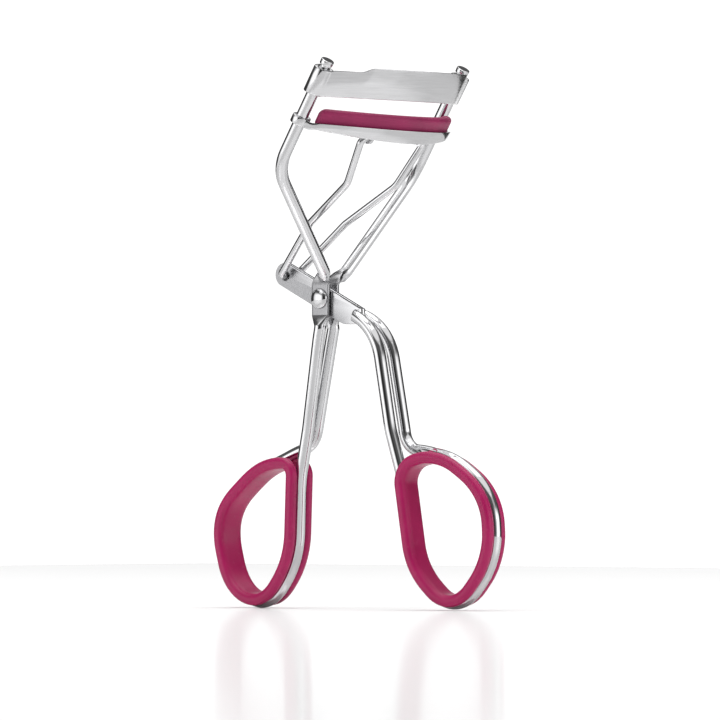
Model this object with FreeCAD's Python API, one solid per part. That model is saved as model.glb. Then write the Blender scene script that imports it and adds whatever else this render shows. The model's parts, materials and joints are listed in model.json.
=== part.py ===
import FreeCAD, Part
import math
import os

from FreeCAD import Vector as V

os.makedirs("parts", exist_ok=True)

# Wire-framed eyelash curler. While it is being drawn, the origin is the centre of the lever pivot:
# X runs along the rivet and the width of the jaws, Y from the lever loop towards the frame loop,
# Z up. At the end everything is moved together, so that the bottom centre of the overall box
# becomes the origin. Sizes in millimetres.

# Wires
wire_d = 2.4            # frame and lever wire
link_d = 1.4            # link wire
sheet = 0.75            # sheet of both jaws, sleeves and eyelets

# Clearances
fit = 0.02              # parts that stay where they are put
run = 0.05              # parts that turn or slide
pin_play = 0.30         # link wire in the hole of the lever tip

# Posts and arms of the frame
post_x = 19.5           # post axes to the middle
post_lean = 32.4        # degrees from vertical, tops away from the frame loop
post_foot = V(0, -5.4, 24.2)    # where the post axes meet the arms, seen from the side
post_len = 22.3         # from the foot to the neck
arm_bend = 9.0
waist_x = 3.0           # arm axes to the middle where they come down to the flats
waist_y = -2.45
waist_top = 5.0
stem_x = 1.9            # stem axes to the middle, just below the flats
neck_d = 1.8
neck_h = 0.6
head_d = 2.6
head_h = 1.05

# Flats and pivot
flat_t = 0.85           # flattened wire of the frame
flat_w = 4.25
flat_top = 3.9
flat_low = -4.7
lever_t = 0.78          # flattened wire of the lever
lever_gap = 0.06        # between its two flats
lever_w = 4.5
lever_rise = 25.5       # degrees above the horizontal, towards the tip
lever_arm = 10.75       # pivot to the hole of the link wire
lever_nose = 0.45       # middle of the rounded tip beyond that hole
lever_tail = 8.7        # pivot to the shoulder where the round wire begins, along Y
rivet_d = 2.0
rivet_head_d = 3.95
rivet_head_h = 0.95

# Finger loops: outline of the rims of the cushion in the plane of the loop, as corners and radii.
# First value outwards from the inner side, second value Z.
frame_loop = [(-2.1, -30.5), (-1.3, -50.6), (7.0, -60.4), (17.7, -56.9), (22.4, -41.0), (7.6, -30.4)]
frame_loop_r = [3.6, 16.0, 8.0, 10.0, 10.0, 16.0]
frame_loop_at = V(-1.2, 6.5, 0)
frame_loop_twist = 4.7
frame_out = 1           # the loop lies towards +Y
lever_loop = [(-0.5, -31.6), (2.7, -52.7), (12.7, -61.8), (22.3, -50.3), (21.4, -36.9), (9.4, -28.3)]
lever_loop_r = [5.5, 15.5, 6.5, 14.0, 12.5, 10.5]
lever_loop_at = V(-2.0, -21.0, 0)
lever_loop_twist = 9.0
lever_out = -1
cushion_w = 6.1
cushion_t = 2.35
cushion_round = 0.85
wire_sunk = 0.75        # wire axis below the rims of the cushion

# Jaws: bowed in level planes, generated along the posts
bow = 10.2              # middle lines ahead of the post axes
plate_r = 26.5          # radius of the middle line of the upper jaw
plate_dip = 4.0         # degrees, front edge lower
low_r = 24.5            # the same two of the lower jaw
low_dip = 8.0
plate_low = 16.0        # bottom edge of the upper jaw, along the posts from their feet
plate_h = 6.6
plate_step = 0.9        # the ends of the top edge are this much lower
plate_step_x = 13.8
sleeve_low = 16.8
sleeve_h = 5.4
pad_w = 2.6
pad_reach = 18.0        # half width of the pad
pad_proud = 3.1         # above the lip of the channel
pad_seat = 0.8          # below the lip
gap = 2.3               # pad to upper jaw along the posts, lever at rest
eyelet_h = 1.6
eyelet_t = 0.5
eyelet_up = 1.05        # top of the eyelets above the lip
channel_h = 2.8         # front wall in the middle
channel_end_h = 1.5     # and at the ends
floor_t = 0.55
lug_x = 7.15            # middle of each lug
lug_t = 0.7
lug_wall = 0.4
lug_back = 2.45         # lug hole behind the middle line of the pad in the middle of the jaw

# Link wire
link_pin_x = 9.05
link_knee_1 = V(7.0, -11.9, 21.6)
link_knee_2 = V(5.0, -0.6, 14.5)
link_end_x = 2.2

lean = math.radians(post_lean)
P = V(0, -math.sin(lean), math.cos(lean))


def forward(dip):
    return V(0, -math.cos(math.radians(dip)), -math.sin(math.radians(dip)))


F = forward(plate_dip)
FL = forward(low_dip)


def save(shape, name):
    # Checks a finished solid and keeps it for the common move and the export.
    if shape.ShapeType != "Solid":
        if len(shape.Solids) != 1:
            raise ValueError(name + " is not one solid: " + str(len(shape.Solids)))
        shape = shape.Solids[0]
    if not shape.isValid():
        raise ValueError(name + " is not valid")
    pieces[name] = shape


def bend(before, corner, after, radius):
    # Start, middle and end of the arc that rounds a corner between two straight runs.
    u = (before - corner).normalize()
    w = (after - corner).normalize()
    half = u.getAngle(w) / 2
    reach = radius / math.tan(half)
    out = (u + w).normalize()
    middle = corner + out * (radius / math.sin(half) - radius)
    return corner + u * reach, middle, corner + w * reach


def path(points, radii):
    # Straight runs joined by tangent arcs. radii holds one value per inner point.
    edges = []
    start = points[0]
    for before, corner, after, radius in zip(points, points[1:], points[2:], radii):
        a, middle, b = bend(before, corner, after, radius)
        edges.append(Part.LineSegment(start, a).toShape())
        edges.append(Part.Arc(a, middle, b).toShape())
        start = b
    edges.append(Part.LineSegment(start, points[-1]).toShape())
    return Part.Wire(edges)


def outline(points, radii):
    # Closed outline with rounded corners.
    n = len(points)
    bends = [bend(points[k - 1], points[k], points[(k + 1) % n], radii[k]) for k in range(n)]
    edges = []
    for k in range(n):
        a, middle, b = bends[k]
        edges.append(Part.Arc(a, middle, b).toShape())
        edges.append(Part.LineSegment(b, bends[(k + 1) % n][0]).toShape())
    return Part.Face(Part.Wire(edges))


def rod(points, radii, diameter):
    # Round wire along a bent path; its volume must agree with section times length.
    spine = path(points, radii)
    along = points[1] - points[0]
    ring = Part.Wire([Part.Circle(points[0], along, diameter / 2).toShape()])
    solid = spine.makePipeShell([ring], True, False)
    wanted = math.pi * diameter * diameter / 4 * spine.Length
    if abs(solid.Volume - wanted) > 0.01 * wanted:
        raise ValueError("bent wire came out wrong")
    return solid


def cylinder(start, end, diameter):
    axis = end - start
    return Part.makeCylinder(diameter / 2, axis.Length, start, axis)


def cone(start, end, d1, d2):
    axis = end - start
    return Part.makeCone(d1 / 2, d2 / 2, axis.Length, start, axis)


def inset(corners, radii, depth):
    # The same rounded outline moved inwards. Corners run anticlockwise.
    out = []
    n = len(corners)
    for i in range(n):
        lines = []
        for (ax, az), (bx, bz) in ((corners[i - 1], corners[i]), (corners[i], corners[(i + 1) % n])):
            length = math.hypot(bx - ax, bz - az)
            nx = -(bz - az) / length
            nz = (bx - ax) / length
            lines.append((nx, nz, nx * ax + nz * az + depth))
        (a1, b1, c1), (a2, b2, c2) = lines
        det = a1 * b2 - a2 * b1
        out.append(((c1 * b2 - c2 * b1) / det, (a1 * c2 - a2 * c1) / det))
    return out, [max(r - depth, 0.4) for r in radii]


class Loop:
    # A finger loop: its plane, the outline of its cushion and the corners of its wire.

    def __init__(self, corners, radii, at, twist, out):
        turn = math.radians(twist)
        self.corners = corners
        self.radii = radii
        self.at = at
        self.a = V(math.sin(turn), out * math.cos(turn), 0)
        self.normal = V(math.cos(turn), -out * math.sin(turn), 0)
        self.wire, self.wire_r = inset(corners, radii, wire_sunk)

    def point(self, corner, aside=0):
        return self.at + self.a * corner[0] + V(0, 0, corner[1]) + self.normal * aside

    def prism(self, depth, width):
        # Solid inside the outline moved inwards by depth, width across the plane.
        corners, radii = inset(self.corners, self.radii, depth)
        points = [self.point(c, -width / 2) for c in corners]
        return outline(points, radii).extrude(self.normal * width)

    def cushion(self, wires):
        outer = self.prism(0, cushion_w)
        inner = self.prism(cushion_t, cushion_w + 2)
        body = outer.cut(inner).removeSplitter()
        sides = (-cushion_w / 2, cushion_w / 2)
        edges = []
        for edge in body.Edges:
            aside = [(v.Point - self.at).dot(self.normal) for v in edge.Vertexes]
            for side in sides:
                if all(abs(value - side) < 1e-4 for value in aside):
                    edges.append(edge)
        body = body.makeFillet(cushion_round, edges)
        groove = wire_d + 4 * fit
        deep = wire_sunk + wire_d / 2 + 2 * fit
        cut = self.prism(-1, groove).cut(self.prism(deep, groove + 1))
        body = body.cut(cut)
        for wire in wires:
            body = body.cut(wire)
        return body

    def over_corner(self, q):
        # Corner where the run from q, lying tangent on the last bend, meets the outer edge.
        (ax, az), (bx, bz) = self.wire[4], self.wire[5]
        cx, cz = self.wire[0]
        radius = self.wire_r[5]
        u = V(ax - bx, 0, az - bz).normalize()
        w = V(cx - bx, 0, cz - bz).normalize()
        centre = V(bx, 0, bz) + (u + w).normalize() * (radius / math.sin(u.getAngle(w) / 2))
        away = V(q[0], 0, q[1]) - centre
        angle = math.atan2(away.z, away.x) - math.acos(radius / away.Length)
        touch = centre + V(math.cos(angle), 0, math.sin(angle)) * radius
        run_on = (touch - V(q[0], 0, q[1])).normalize()
        det = run_on.x * u.z - run_on.z * u.x
        s = ((bx - q[0]) * u.z - (bz - q[1]) * u.x) / det
        return (q[0] + run_on.x * s, q[1] + run_on.z * s)


def mirrored(v):
    return V(-v.x, v.y, v.z)


# ---- Frame wire -----------------------------------------------------------------------------
half_gap = lever_gap / 2
frame_in = half_gap + lever_t + run
frame_face = frame_in + flat_t
loop_f = Loop(frame_loop, frame_loop_r, frame_loop_at, frame_loop_twist, frame_out)

post_end = post_foot + P * post_len
waist = V(waist_x, waist_y, waist_top)
flat_mid = (frame_in + frame_face) / 2


def upper_run(side):
    tip = V(side * post_x, post_end.y, post_end.z)
    knee = V(side * post_x, post_foot.y, post_foot.z)
    low = V(side * waist_x, waist_y, waist_top)
    foot = V(side * (waist_x - 0.35), waist_y + 0.35, flat_top - 0.1)
    shape = rod([tip, knee, low, foot], [arm_bend, 1.5], wire_d)
    axis = V(side * post_x, post_end.y, post_end.z)
    neck = cylinder(axis - P * 0.1, axis + P * (neck_h + 0.1), neck_d)
    head = cylinder(axis + P * neck_h, axis + P * (neck_h + head_h), head_d)
    taper_end = V(side * flat_mid, -1.15, flat_top - 1.6)
    taper = cone(foot - V(0, 0, -0.2), taper_end, wire_d * 0.9, flat_t * 0.9)
    return shape.fuse([neck, head, taper])


stem_f = [V(-stem_x, -0.35, flat_low - 0.7), V(-1.85, 0.15, -7.9), V(-1.3, 3.35, -25.2)]
corners_f = loop_f.wire
inner_f = loop_f.point((corners_f[0][0] + 0.12, -34.5))
q_f = (-2.5, -28.0)
over_f = loop_f.over_corner(q_f)
run_f = stem_f + [inner_f] + [loop_f.point(c) for c in corners_f[1:5]]
run_f += [loop_f.point(over_f, 0.35), V(1.3, 6.5 + q_f[0], q_f[1])]
run_f += [mirrored(stem_f[2]), mirrored(stem_f[1]), mirrored(stem_f[0])]
radii_f = [6, 20, 20] + loop_f.wire_r[1:5] + [loop_f.wire_r[5], 5.0, 10, 6]


def frame_flat(side):
    # Flattened stretch round the pivot, seen from the side, narrowing into the stem.
    w = flat_w / 2
    shape = [V(0, -w + 0.3, flat_top), V(0, w - 1.2, flat_top), V(0, w, flat_top - 1.6)]
    shape += [V(0, w, -2.6), V(0, 0.85, flat_low - 1.3), V(0, -1.3, flat_low - 1.3)]
    shape += [V(0, -w, -2.6), V(0, -w, flat_top - 1.6)]
    plate = outline(shape, [0.3, 0.8, 0.9, 3, 0.3, 0.3, 2, 0.9]).extrude(V(flat_t, 0, 0))
    plate.translate(V(frame_in if side > 0 else -frame_face, 0, 0))
    return plate


bore = cylinder(V(-4, 0, 0), V(4, 0, 0), rivet_d + 2 * fit)


def frame_stem_taper(side):
    top = V(side * flat_mid, 0, flat_low + 1.6)
    return cone(V(side * stem_x, -0.4, flat_low - 0.65), top, wire_d * 0.9, flat_t * 0.9)


frame_parts = [upper_run(-1), upper_run(1), frame_flat(-1), frame_flat(1)]
frame_parts += [frame_stem_taper(-1), frame_stem_taper(1)]
lower_f = rod(run_f, radii_f, wire_d)
frame_wire = lower_f.fuse(frame_parts).cut(bore)

# ---- Rivet ----------------------------------------------------------------------------------
ball_r = (rivet_head_h ** 2 + (rivet_head_d / 2) ** 2) / (2 * rivet_head_h)


def rivet_head(side):
    ball = Part.makeSphere(ball_r, V(side * (frame_face + rivet_head_h - ball_r), 0, 0))
    keep = Part.makeBox(4, 8, 8, V(frame_face if side > 0 else -frame_face - 4, -4, -4))
    return ball.common(keep)


rivet = cylinder(V(-frame_face - 0.2, 0, 0), V(frame_face + 0.2, 0, 0), rivet_d)
rivet = rivet.fuse([rivet_head(-1), rivet_head(1)])

# ---- Lever wire -----------------------------------------------------------------------------
rise = math.radians(lever_rise)
D = V(0, math.cos(rise), math.sin(rise))
N = V(0, -math.sin(rise), math.cos(rise))
tip_hole = D * lever_arm
hole_d = link_d + 2 * pin_play


def lever_flat(side):
    w = lever_w / 2
    top = D * (-lever_tail / math.cos(rise) + 0.1) + N * w
    low = V(0, top.y - 0.2, -5.0)
    bend = V(0, -5.3, -5.0)
    nose = tip_hole + D * lever_nose
    a = nose + N * w
    b = nose - N * w
    tip = nose + D * w
    edges = [Part.LineSegment(top, a).toShape(), Part.Arc(a, tip, b).toShape()]
    edges += path([b, bend, low, top], [4.0, 0.4]).Edges
    plate = Part.Face(Part.Wire(edges)).extrude(V(lever_t, 0, 0))
    plate.translate(V(half_gap if side > 0 else -half_gap - lever_t, 0, 0))
    return plate


loop_l = Loop(lever_loop, lever_loop_r, lever_loop_at, lever_loop_twist, lever_out)
corners_l = loop_l.wire
shoulder = [V(-1.45, -lever_tail + 0.4, -3.15), V(-1.9, -14.75, -6.3), V(-2.0, -18.5, -25.3)]
inner_l = loop_l.point((corners_l[0][0] + 0.95, -37.0))
q_l = (-2.1, -29.0)
over_l = loop_l.over_corner(q_l)
run_l = shoulder + [inner_l] + [loop_l.point(c) for c in corners_l[1:5]]
run_l += [loop_l.point(over_l, 0.5), V(2.0, -21.0 - q_l[0], q_l[1])]
run_l += [mirrored(shoulder[2]), mirrored(shoulder[1]), mirrored(shoulder[0])]
radii_l = [11, 20, 20] + loop_l.wire_r[1:5] + [loop_l.wire_r[5], 4.5, 2, 11]


def lever_taper(side):
    start = V(side * 1.42, -lever_tail + 0.45, -3.13)
    end = V(side * (half_gap + lever_t / 2), -lever_tail + 2.6, -2.3)
    return cone(start, end, wire_d * 0.9, lever_t * 0.9)


wide = frame_in - run
keep_out = Part.makeBox(6, 9.5, 14, V(wide, -6.3, -7))
keep_out_2 = Part.makeBox(6, 9.5, 14, V(-wide - 6, -6.3, -7))
lever_wire = rod(run_l, radii_l, wire_d)
lever_wire = lever_wire.fuse([lever_flat(-1), lever_flat(1), lever_taper(-1), lever_taper(1)])
split = Part.makeBox(lever_gap, 24, 24, V(-half_gap, -lever_tail - 1.5, -12))
pivot_bore = cylinder(V(-4, 0, 0), V(4, 0, 0), rivet_d + 2 * run)
tip_bore = cylinder(tip_hole - V(4, 0, 0), tip_hole + V(4, 0, 0), hole_d)
lever_wire = lever_wire.cut([keep_out, keep_out_2, split, pivot_bore, tip_bore])

# ---- Jaws -----------------------------------------------------------------------------------


def bow_point(angle, radius, centre, ahead):
    return V(radius * math.sin(angle), 0, 0) + ahead * (centre + radius * math.cos(angle))


def band(r_out, r_in, ahead, reach, level, height):
    # Curved bar between two radii in a dipped plane, generated along the posts.
    middle = plate_r if ahead is F else low_r
    a = math.asin(reach / middle)
    pts = []
    for radius in (r_out, r_in):
        pts.append([bow_point(t, radius, bow - middle, ahead) for t in (-a, 0, a)])
    (o1, o2, o3), (i1, i2, i3) = pts
    edges = [Part.Arc(o1, o2, o3).toShape(), Part.LineSegment(o3, i3).toShape()]
    edges += [Part.Arc(i3, i2, i1).toShape(), Part.LineSegment(i1, o1).toShape()]
    solid = Part.Face(Part.Wire(edges)).extrude(P * height)
    solid.translate(post_foot + P * level)
    return solid


def along(x, level):
    return V(x, 0, 0) + post_foot + P * level


def slab(points, level, height):
    # Flat-sided piece over a closed polygon, generated along the posts.
    solid = Part.Face(Part.makePolygon(points + [points[0]])).extrude(P * height)
    solid.translate(post_foot + P * level)
    return solid


tube_d = wire_d + 2 * sheet
front = math.sqrt(1 - F.dot(P) ** 2)        # 1 across the posts is 1 / front along F
front_l = math.sqrt(1 - FL.dot(P) ** 2)
sleeve_front = (wire_d + sheet) / 2 / front
meet = math.sqrt(plate_r ** 2 - (sleeve_front - bow + plate_r) ** 2)

# Upper jaw: bowed plate, two sleeves, lowered ends of the top edge
half_sheet = sheet / 2 / front
plate = band(plate_r + half_sheet, plate_r - half_sheet, F, min(meet, post_x) + 0.2, plate_low,
             plate_h)
parts = []
cuts = []
for side in (-1, 1):
    parts.append(cylinder(along(side * post_x, sleeve_low),
                          along(side * post_x, sleeve_low + sleeve_h), tube_d))
    tab = []
    for x, ahead in ((meet - 0.4, -1), (meet - 0.4, 1), (post_x, 1), (post_x, -1)):
        tab.append(V(side * x, 0, 0) + F * (sleeve_front + ahead * half_sheet))
    parts.append(slab(tab, plate_low, plate_h - plate_step - 0.3))
    cuts.append(cylinder(along(side * post_x, 0), along(side * post_x, 40), wire_d + 2 * fit))
    cuts.append(cylinder(along(side * post_x, sleeve_low + sleeve_h), along(side * post_x, 40),
                         head_d + 4 * run))
    step = [V(side * (plate_step_x - 3), 0, 0), V(side * (plate_step_x - 0.8), 0, 0),
            V(side * (plate_step_x + 0.8), 0, -plate_step), V(side * 25, 0, -plate_step)]
    ring = path(step, [1.3, 1.3]).Edges
    over = [step[3], V(side * 25, 0, 2), V(side * (plate_step_x - 3), 0, 2), step[0]]
    for a, b in zip(over, over[1:]):
        ring.append(Part.LineSegment(a, b).toShape())
    block = Part.Face(Part.Wire(ring)).extrude(F * 14)
    block.translate(post_foot + P * (plate_low + plate_h) + F * 2.35)
    cuts.append(block)
upper_jaw = plate.fuse(parts).cut(cuts)

# Lower jaw: shallow channel whose front wall hangs down as a curved apron, two loose eyelets
# on the posts, two lugs under the floor
lip = plate_low - gap - pad_proud
keel = lip - channel_h
pad_half = pad_w / 2 / front_l
room = pad_half + fit / front_l
out_half = room + sheet / front_l
end_reach = pad_reach - 0.4
floor_top = lip - pad_seat
floor_low = floor_top - floor_t
channel = band(low_r + out_half, low_r - out_half, FL, end_reach, floor_low, lip - floor_low)
apron = band(low_r + out_half, low_r + room, FL, end_reach, keel, channel_h - 0.1)
rise_end = channel_h - channel_end_h
swing = [V(-end_reach - 1, 0, rise_end * 1.1), V(0, 0, 0), V(end_reach + 1, 0, rise_end * 1.1)]
edges = [Part.Arc(*swing).toShape()]
below = [swing[2], V(end_reach + 1, 0, -8), V(-end_reach - 1, 0, -8), swing[0]]
for a, b in zip(below, below[1:]):
    edges.append(Part.LineSegment(a, b).toShape())
under = Part.Face(Part.Wire(edges)).extrude(FL * 30)
under.translate(post_foot + P * keel - FL * 10)
apron = apron.cut(under)
pocket = band(low_r + room, low_r - room, FL, pad_reach + fit, floor_top, pad_seat + 2)
joins = [apron]
eye_low = lip + eyelet_up - eyelet_h
eye_d = wire_d + 2 * (run + eyelet_t)
eye_front = (wire_d / 2 + run + eyelet_t / 2) / front_l
turn = math.asin(end_reach / low_r) - 0.02
for side in (-1, 1):
    eye_axis = along(side * post_x, eye_low)
    joins.append(cylinder(eye_axis, eye_axis + P * eyelet_h, eye_d))
    web = [bow_point(side * turn, low_r + out_half, bow - low_r, FL),
           V(side * (post_x + 0.4), 0, 0) + FL * (eye_front + 0.2),
           V(side * (post_x - 0.4), 0, 0) + FL * 0.9,
           bow_point(side * turn, low_r + out_half - 1.6, bow - low_r, FL)]
    joins.append(slab(web, lip - channel_end_h, channel_end_h))
pin_room = link_d / 2 + run
pin_level = floor_low - (pin_room + 0.08) / P.z
pin = post_foot + P * pin_level + FL * (bow - lug_back)
for side in (-1, 1):
    at = V(side * lug_x - lug_t / 2, pin.y, pin.z)
    lug = Part.makeCylinder(pin_room + lug_wall, lug_t, at, V(1, 0, 0))
    wide_lug = 2 * (pin_room + lug_wall)
    stalk = Part.makeBox(lug_t, wide_lug, pin_room + 0.35, V(at.x, at.y - wide_lug / 2, at.z))
    joins.append(lug.fuse(stalk))
lower_jaw = channel.fuse(joins)
bores = []
for side in (-1, 1):
    bores.append(cylinder(along(side * post_x, 0), along(side * post_x, 40), wire_d + 2 * run))
bores.append(cylinder(V(-12, pin.y, pin.z), V(12, pin.y, pin.z), 2 * pin_room))
lower_jaw = lower_jaw.cut([pocket] + bores)

# Pad: curved bar with a rounded crown
pad_h = pad_seat - fit + pad_proud
pad = band(low_r + pad_half, low_r - pad_half, FL, pad_reach, floor_top + fit, pad_h)
across = FL.cross(V(1, 0, 0))
crown_at = (P * (lip + pad_proud)).dot(across)
crown = []
for edge in pad.Edges:
    if all(abs((v.Point - post_foot).dot(across) - crown_at) < 1e-4 for v in edge.Vertexes):
        crown.append(edge)
lash_pad = pad.makeFillet(0.8, crown)

# ---- Link wire ------------------------------------------------------------------------------
half_run = [V(lug_x - lug_t / 2 - 0.3, pin.y, pin.z), V(link_pin_x, pin.y, pin.z), link_knee_1,
            link_knee_2, V(link_end_x, tip_hole.y, tip_hole.z)]
link_pts = half_run + [mirrored(v) for v in reversed(half_run)]
half_r = [1.2, 4.0, 3.0, 1.2]
link_wire = rod(link_pts, half_r + list(reversed(half_r)), link_d)

# ---- Cushions -------------------------------------------------------------------------------
# Each groove is opened where the two ends of the wire come in from the stems.
way_d = wire_d + 0.2


def ways(run, radii):
    inner = rod(run[1:5], radii[1:3], way_d)
    over = rod(run[6:11], radii[6:9], way_d)
    return [inner, over]


frame_cushion = loop_f.cushion(ways(run_f, radii_f))
lever_cushion = loop_l.cushion(ways(run_l, radii_l))

pieces = {}
save(frame_wire, "frame_wire")
save(rivet, "pivot_rivet")
save(upper_jaw, "upper_jaw")
save(frame_cushion, "frame_loop_cushion")
save(lever_wire, "lever_wire")
save(lever_cushion, "lever_loop_cushion")
save(lower_jaw, "lower_jaw")
save(lash_pad, "lash_pad")
save(link_wire, "link_wire")

# ---- Common move and export -----------------------------------------------------------------
whole = FreeCAD.BoundBox()
for shape in pieces.values():
    whole.add(shape.optimalBoundingBox(False))
move = V(-(whole.XMin + whole.XMax) / 2, -(whole.YMin + whole.YMax) / 2, -whole.ZMin)
for name, shape in pieces.items():
    moved = shape.copy()
    moved.translate(move)
    moved.exportStep("parts/" + name + ".step")
    box = moved.optimalBoundingBox(False)
    print(name, round(moved.Volume, 1), [round(v, 2) for v in (
        box.XMin, box.XMax, box.YMin, box.YMax, box.ZMin, box.ZMax)])
print("pivot", [round(v, 3) for v in move])
tip_at = tip_hole + move
pin_at = pin + move
print("lever hole", [round(v, 3) for v in tip_at], "lug hole", [round(v, 3) for v in pin_at])
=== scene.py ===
import json
from math import acos, asin, atan2, ceil, copysign, cos, hypot, pi, radians, sin, sqrt, tan
from types import SimpleNamespace

import bmesh
import bpy
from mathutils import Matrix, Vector
from mathutils.geometry import tessellate_polygon


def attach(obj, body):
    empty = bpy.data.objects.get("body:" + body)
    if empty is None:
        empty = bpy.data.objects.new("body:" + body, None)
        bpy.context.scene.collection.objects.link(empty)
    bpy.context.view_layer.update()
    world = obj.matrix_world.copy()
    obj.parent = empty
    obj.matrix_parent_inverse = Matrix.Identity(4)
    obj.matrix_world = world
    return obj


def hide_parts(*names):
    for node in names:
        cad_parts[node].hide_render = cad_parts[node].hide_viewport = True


bl_info = {
    "name": "Eyelash curler looks",
    "version": (1, 0, 0),
    "blender": (4, 5, 0),
    "location": "3D Viewport > Sidebar > Curler",
    "description": "Builds the finished wires, jaws, pad and loop cushions round the packed frame",
    "category": "Object",
}

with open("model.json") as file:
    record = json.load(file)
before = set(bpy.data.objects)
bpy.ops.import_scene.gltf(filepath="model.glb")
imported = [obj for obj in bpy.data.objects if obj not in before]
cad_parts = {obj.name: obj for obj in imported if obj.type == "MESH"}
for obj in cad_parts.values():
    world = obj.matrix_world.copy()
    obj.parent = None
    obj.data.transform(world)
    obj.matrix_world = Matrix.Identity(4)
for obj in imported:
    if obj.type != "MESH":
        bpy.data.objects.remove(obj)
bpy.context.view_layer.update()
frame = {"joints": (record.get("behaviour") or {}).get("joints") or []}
METRES = 0.001                      # per millimetre
JOINTS = {joint["name"]: joint for joint in frame["joints"]}
PIVOT = Vector(JOINTS["handle_pivot"]["pos_m"]) / METRES
LUG_HOLE = Vector(JOINTS["link_swing"]["pos_m"]) / METRES - PIVOT

# All shapes are written in millimetres from the centre of the pivot rivet.
# Levels of the jaws are measured along the posts from their feet.
X = Vector((1.0, 0.0, 0.0))
Z = Vector((0.0, 0.0, 1.0))
POST = Vector(JOINTS["jaw_slide"]["axis"]).normalized()
POST_X = 19.5                       # post axes to the middle
POST_FOOT = Vector((0.0, -5.4, 24.2))
POST_LENGTH = 22.3                  # foot to neck
POST_BEND = 9.0
NECK = 0.9                          # radius
HEAD = 1.3                          # radius
SHEET = 0.75
BOW = 10.2                          # how far the jaws come out ahead of the posts
UPPER_RADIUS, UPPER_DIP = 26.5, 4.0
LOWER_RADIUS, LOWER_DIP = 24.5, 8.0
PLATE_LOW, PLATE_HEIGHT, PLATE_STEP = 16.0, 6.6, 0.9
SLEEVE_LOW, SLEEVE_TOP = 16.8, 22.2
LIP = 10.6                          # upper edge of the channel
LUG_X, LUG_T = 7.15, 0.7
EYELET_TOP, EYELET_HEIGHT = LIP + 1.05, 1.6


# ---- Geometry helpers ----


def vec(*parts):
    return Vector(parts)


def mixed(a, b, t):
    return a + (b - a) * t


def eased(low, high, value):
    t = min(max((value - low) / (high - low), 0.0), 1.0)
    return t * t * (3.0 - 2.0 * t)


def forward(dip):
    return vec(0.0, -cos(radians(dip)), -sin(radians(dip)))


def corner_arc(before, corner, after, radius, per_turn):
    """Points of the arc that rounds a corner between two straight runs."""
    u = (before - corner).normalized()
    w = (after - corner).normalized()
    half = u.angle(w) / 2.0
    reach = radius / tan(half)
    centre = corner + (u + w).normalized() * (radius / sin(half))
    a = corner + u * reach - centre
    b = corner + w * reach - centre
    sweep = pi - 2.0 * half
    count = max(3, round(sweep / per_turn))
    return [centre + (a * sin(sweep * (1.0 - k / count)) + b * sin(sweep * k / count))
            / sin(sweep) for k in range(count + 1)]


def bent_line(points, radii, step=2.0, per_turn=0.09, closed=False):
    """Straight runs joined by arcs, with points no further apart than step."""
    if closed:
        n = len(points)
        corners = [(points[k - 1], points[k], points[(k + 1) % n], radii[k]) for k in range(n)]
        raw = []
    else:
        corners = list(zip(points, points[1:], points[2:], radii))
        raw = [points[0]]
    for before, corner, after, radius in corners:
        raw += corner_arc(before, corner, after, radius, per_turn)
    raw.append(raw[0] if closed else points[-1])
    line = [raw[0]]
    for a, b in zip(raw, raw[1:]):
        count = max(1, ceil((b - a).length / step))
        line += [mixed(a, b, k / count) for k in range(1, count + 1)]
    return line[:-1] if closed else line


def inset(corners, radii, depth):
    """The same rounded outline moved inwards."""
    moved = []
    n = len(corners)
    for k in range(n):
        lines = []
        for (ax, az), (bx, bz) in ((corners[k - 1], corners[k]), (corners[k], corners[(k + 1) % n])):
            length = hypot(bx - ax, bz - az)
            nx, nz = -(bz - az) / length, (bx - ax) / length
            lines.append((nx, nz, nx * ax + nz * az + depth))
        (a1, b1, c1), (a2, b2, c2) = lines
        det = a1 * b2 - a2 * b1
        moved.append(((c1 * b2 - c2 * b1) / det, (a1 * c2 - a2 * c1) / det))
    return moved, [max(r - depth, 0.4) for r in radii]


def skin(rings, closed=False):
    """Vertices and faces of a tube through equal rings of points."""
    size = len(rings[0])
    verts = [p for ring in rings for p in ring]
    faces = []
    for k in range(len(rings) if closed else len(rings) - 1):
        a, b = k * size, ((k + 1) % len(rings)) * size
        for j in range(size):
            i = (j + 1) % size
            faces.append((a + j, a + i, b + i, b + j))
    if not closed:
        for start, turn in ((0, 1), ((len(rings) - 1) * size, -1)):
            middle = sum(rings[0] if start == 0 else rings[-1], Vector()) / size
            verts.append(middle)
            for j in range(size):
                i = (j + 1) % size
                face = (start + i, start + j, len(verts) - 1)
                faces.append(face if turn > 0 else face[::-1])
    return verts, faces


def merged(*shells):
    verts, faces = [], []
    for v, f in shells:
        base = len(verts)
        verts += v
        faces += [tuple(base + i for i in face) for face in f]
    return verts, faces


def in_scene(name, data):
    thing = bpy.data.objects.new(name, data)
    bpy.context.scene.collection.objects.link(thing)
    return thing


def new_piece(name, shell, body, nodes, material, grain_at=None, sharp=0.6):
    """Makes a finished piece: mesh in place, faces outwards, smooth apart from its edges.

    grain_at gives the share of tool grain at a point, 0 to 1.
    """
    verts, faces = shell
    mesh = bpy.data.meshes.new(name)
    mesh.from_pydata([(p + PIVOT) * METRES for p in verts], [], faces)
    bm = bmesh.new()
    bm.from_mesh(mesh)
    bmesh.ops.remove_doubles(bm, verts=bm.verts, dist=2e-6)
    bmesh.ops.recalc_face_normals(bm, faces=bm.faces)
    for face in bm.faces:
        face.smooth = True
    for edge in bm.edges:
        edge.smooth = len(edge.link_faces) != 2 or edge.calc_face_angle(0.0) < sharp
    bm.to_mesh(mesh)
    bm.free()
    if grain_at:
        grain = mesh.attributes.new("stamped", "FLOAT", "POINT")
        grain.data.foreach_set("value", [grain_at(v.co / METRES - PIVOT) for v in mesh.vertices])
    piece = in_scene(name, mesh)
    mesh.materials.append(material)
    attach(piece, body)
    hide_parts(*nodes)
    return piece


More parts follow.
